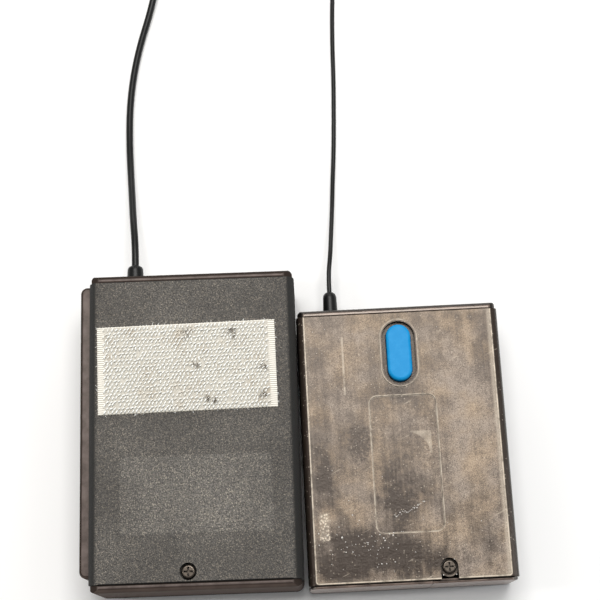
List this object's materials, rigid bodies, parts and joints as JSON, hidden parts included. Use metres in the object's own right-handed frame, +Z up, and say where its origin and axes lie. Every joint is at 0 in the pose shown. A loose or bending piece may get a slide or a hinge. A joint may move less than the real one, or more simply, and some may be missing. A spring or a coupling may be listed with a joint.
{
  "type": "lavalier microphone",
  "caption": "Wireless lavalier microphone set: two slim packs with hook tape, push button and side controls, an antenna lead, and a clip-on microphone on a thin lead.",
  "frame": {"origin": "centre of the receiver pack's underside, on the surface that the set lies on", "axes": "+Z up, out of the packs' backs; +Y towards the ends that the leads leave; +X from the receiver to the transmitter"},
  "size_m": [0.1347, 0.2323, 0.0263],
  "materials": {
    "charcoal_textured": "fine textured moulding",
    "charcoal_smooth": "smooth satin moulding",
    "smoked_gloss": "worn glossy moulding",
    "smoked_tray": "glossy moulding",
    "blue_button": "satin moulding",
    "hook_tape": "woven hook tape",
    "black_rubber": "satin cord jacket",
    "moulded_black": "moulded",
    "screw_steel": "plated, dull",
    "spring_steel": "bright",
    "battery_case": "printed metal can",
    "snap_metal": "nickel plated",
    "board_green": "solder mask",
    "chip_black": "moulded",
    "can_metal": "tinned can",
    "capacitor_sleeve": "shrink sleeve",
    "lamp_red": "tinted lens",
    "lamp_green": "tinted lens",
    "black_metal": "black, satin",
    "foam_black": "open-cell foam",
    "tie_band": "woven band"
  },
  "bodies": {
    "receiver": {"rx_front_shell": "charcoal_smooth", "rx_back_cover": "charcoal_textured", "rx_cover_screw": "screw_steel", "hook_tape": "hook_tape", "rx_door_pin": "spring_steel", "rx_battery": "battery_case", "rx_battery_snaps": "snap_metal", "rx_battery_connector": "moulded_black", "rx_circuit_board": "board_green", "rx_board_screws": "screw_steel", "rx_chips": "chip_black", "rx_if_cans": "can_metal", "rx_capacitors": "capacitor_sleeve", "rx_crystal": "can_metal", "rx_power_switch": "can_metal", "rx_power_led": "lamp_red", "rx_output_jack": "moulded_black", "rx_volume_pot": "can_metal", "rx_antenna_gland": "black_rubber", "rx_antenna_lead": "black_rubber", "rx_antenna_coil": "black_rubber", "rx_coil_tie": "tie_band", "rx_antenna_tip": "black_rubber"},
    "transmitter": {"tx_front_shell": "smoked_tray", "tx_back_cover": "smoked_gloss", "tx_cover_screw": "screw_steel", "tx_door_pin": "spring_steel", "tx_battery": "battery_case", "tx_battery_snaps": "snap_metal", "tx_battery_connector": "moulded_black", "tx_circuit_board": "board_green", "tx_board_screws": "screw_steel", "tx_chips": "chip_black", "tx_rf_coils": "can_metal", "tx_capacitors": "capacitor_sleeve", "tx_crystal": "can_metal", "tx_power_switch": "can_metal", "tx_status_led": "lamp_green", "tx_mic_gland": "black_rubber", "tx_tact_switch": "moulded_black", "tx_mic_lead": "black_rubber", "tx_mic_coil": "black_rubber", "tx_coil_tie": "tie_band", "mic_boot": "black_rubber", "mic_housing": "black_metal", "mic_capsule": "can_metal", "mic_grille": "black_metal"},
    "receiver_battery_door": {"rx_battery_door": "charcoal_smooth"},
    "volume_wheel": {"rx_volume_wheel": "moulded_black"},
    "receiver_power_slider": {"rx_power_slider": "moulded_black"},
    "transmitter_battery_door": {"tx_battery_door": "smoked_tray"},
    "transmitter_power_slider": {"tx_power_slider": "moulded_black"},
    "mute_button": {"tx_mute_button": "blue_button", "tx_switch_plunger": "moulded_black"},
    "windscreen": {"mic_windscreen": "foam_black"},
    "clip": {"clip_upper_jaw": "black_metal", "clip_pin": "spring_steel", "clip_spring": "spring_steel"},
    "clip_jaw": {"clip_lower_jaw": "black_metal"}
  },
  "joints": [
    {"name": "packs_apart", "type": "slide", "parent": "receiver", "child": "transmitter", "axis": [1, 0, 0], "range_m": [0, 0.1]},
    {"name": "receiver_door_hinge", "type": "hinge", "parent": "receiver", "child": "receiver_battery_door", "pos_m": [-0.0318, 0.0011, 0.0029], "axis": [0, -1, 0], "range_deg": [0, 90]},
    {"name": "volume_turn", "type": "hinge", "parent": "receiver", "child": "volume_wheel", "pos_m": [0.0114, 0.0387, 0.0116], "axis": [0, 0, 1], "range_deg": [0, 270]},
    {"name": "receiver_power", "type": "slide", "parent": "receiver", "child": "receiver_power_slider", "axis": [1, 0, 0], "range_m": [0, 0.0025]},
    {"name": "transmitter_door_hinge", "type": "hinge", "parent": "transmitter", "child": "transmitter_battery_door", "pos_m": [0.04895, -0.04521, 0.0025], "axis": [0.9999, 0.014, 0], "range_deg": [0, 90]},
    {"name": "transmitter_power", "type": "slide", "parent": "transmitter", "child": "transmitter_power_slider", "axis": [0.9999, 0.014, 0], "range_m": [0, 0.0025]},
    {"name": "mute_press", "type": "slide", "parent": "transmitter", "child": "mute_button", "axis": [0, 0, -1], "range_m": [0, 0.0005], "stiffness_N_per_m": 1500, "springref_m": -0.0004},
    {"name": "windscreen_off", "type": "slide", "parent": "transmitter", "child": "windscreen", "axis": [1, 0, 0], "range_m": [0, 0.016]},
    {"name": "clip_turn", "type": "hinge", "parent": "transmitter", "child": "clip", "pos_m": [0.0784, 0.1722, 0.0052], "axis": [1, 0, 0], "range_deg": [0, 180]},
    {"name": "clip_open", "type": "hinge", "parent": "clip", "child": "clip_jaw", "pos_m": [0.0784, 0.1809, 0.0052], "axis": [0, 0, 1], "range_deg": [0, 28], "stiffness_Nm_per_rad": 0.05, "springref_deg": -20.05}
  ]
}
